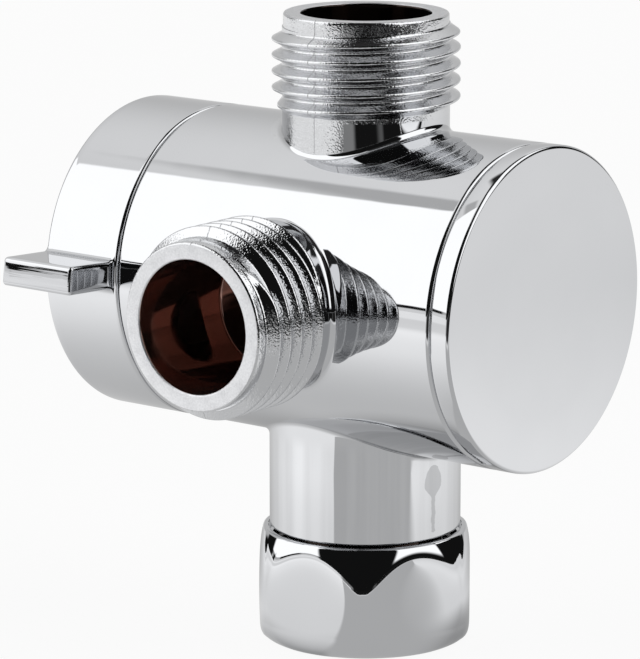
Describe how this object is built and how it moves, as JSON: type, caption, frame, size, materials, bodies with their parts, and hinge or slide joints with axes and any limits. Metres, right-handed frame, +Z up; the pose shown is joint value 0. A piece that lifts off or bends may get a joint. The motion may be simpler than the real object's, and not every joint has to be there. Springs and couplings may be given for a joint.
{
  "type": "shower diverter valve",
  "caption": "Chrome shower diverter: barrel body with threaded top and front outlets, a swivel inlet nut below and a lever knob whose rotor sends water to either outlet or both.",
  "frame": {"origin": "centre of the inlet nut's mouth, on the nut's bottom face", "axes": "+Z up along the inlet and the top outlet, -Y out of the front outlet, +X from the knob to the end cap"},
  "size_m": [0.0565, 0.0485, 0.071],
  "materials": {
    "body_chrome": "polished chrome plate on cast brass, granular on the threads",
    "cap_chrome": "polished chrome plate on turned brass",
    "knob_chrome": "polished chrome plate on die-cast zinc",
    "nut_chrome": "polished chrome plate on turned brass",
    "seal_rubber": "black moulded rubber",
    "rotor_plastic": "natural white moulded acetal",
    "slip_plastic": "white low-friction plastic",
    "spring_steel": "bright stainless steel"
  },
  "bodies": {
    "housing": {"valve_body": "body_chrome", "end_cap": "cap_chrome", "end_cap_o_ring": "seal_rubber", "stop_pin": "spring_steel", "nut_snap_ring": "spring_steel"},
    "control": {"knob": "knob_chrome", "knob_plug": "knob_chrome", "knob_screw": "spring_steel", "knob_screw_washer": "spring_steel", "knob_slip_washer": "slip_plastic", "rotor": "rotor_plastic", "stem_o_ring_inner": "seal_rubber", "stem_o_ring_outer": "seal_rubber", "port_seal": "seal_rubber", "port_seal_piston": "rotor_plastic", "port_seal_spring": "spring_steel", "thrust_washer_left": "slip_plastic", "thrust_washer_right": "slip_plastic"},
    "inlet": {"swivel_nut": "nut_chrome", "inlet_washer": "seal_rubber"}
  },
  "joints": [
    {"name": "knob_turn", "type": "hinge", "parent": "housing", "child": "control", "pos_m": [0, 0, 0.0405], "axis": [1, 0, 0], "range_deg": [-86.9, 93.1]},
    {"name": "nut_spin", "type": "hinge", "parent": "housing", "child": "inlet", "pos_m": [0, 0, 0], "axis": [0, 0, 1], "continuous": true}
  ]
}
